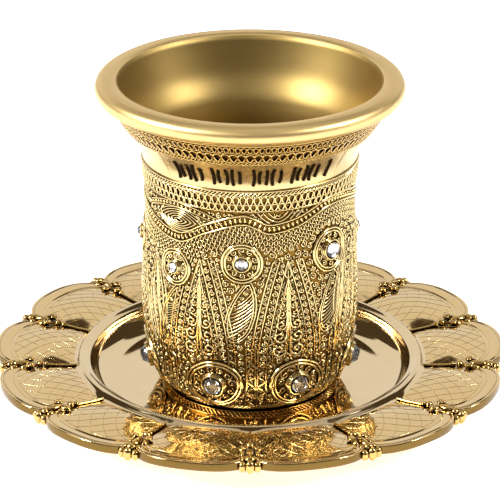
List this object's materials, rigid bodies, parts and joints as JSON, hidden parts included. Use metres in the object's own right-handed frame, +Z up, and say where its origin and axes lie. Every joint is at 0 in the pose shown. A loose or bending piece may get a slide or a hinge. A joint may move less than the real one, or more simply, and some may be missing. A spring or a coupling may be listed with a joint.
{
  "type": "kiddush cup with saucer",
  "caption": "Flared ceremonial wine cup with filigree relief and set crystals, standing in a saucer with petals around a round well.",
  "frame": {"origin": "centre of the saucer's flat underside", "axes": "+Z up along the common axis of cup and saucer, -Y towards the front with the engraved band"},
  "size_m": [0.1286, 0.1277, 0.0815],
  "materials": {
    "antique_gold": "gold plated relief, darkened in the recesses",
    "polished_gold": "polished gold plate",
    "crystal": "cut clear crystal"
  },
  "bodies": {
    "root": {"cup": "antique_gold", "saucer": "polished_gold", "crystal_upper_1": "crystal", "crystal_upper_2": "crystal", "crystal_upper_3": "crystal", "crystal_upper_4": "crystal", "crystal_upper_5": "crystal", "crystal_upper_6": "crystal", "crystal_upper_7": "crystal", "crystal_lower_1": "crystal", "crystal_lower_2": "crystal", "crystal_lower_3": "crystal", "crystal_lower_4": "crystal", "crystal_lower_5": "crystal", "crystal_lower_6": "crystal", "crystal_lower_7": "crystal"}
  },
  "joints": []
}
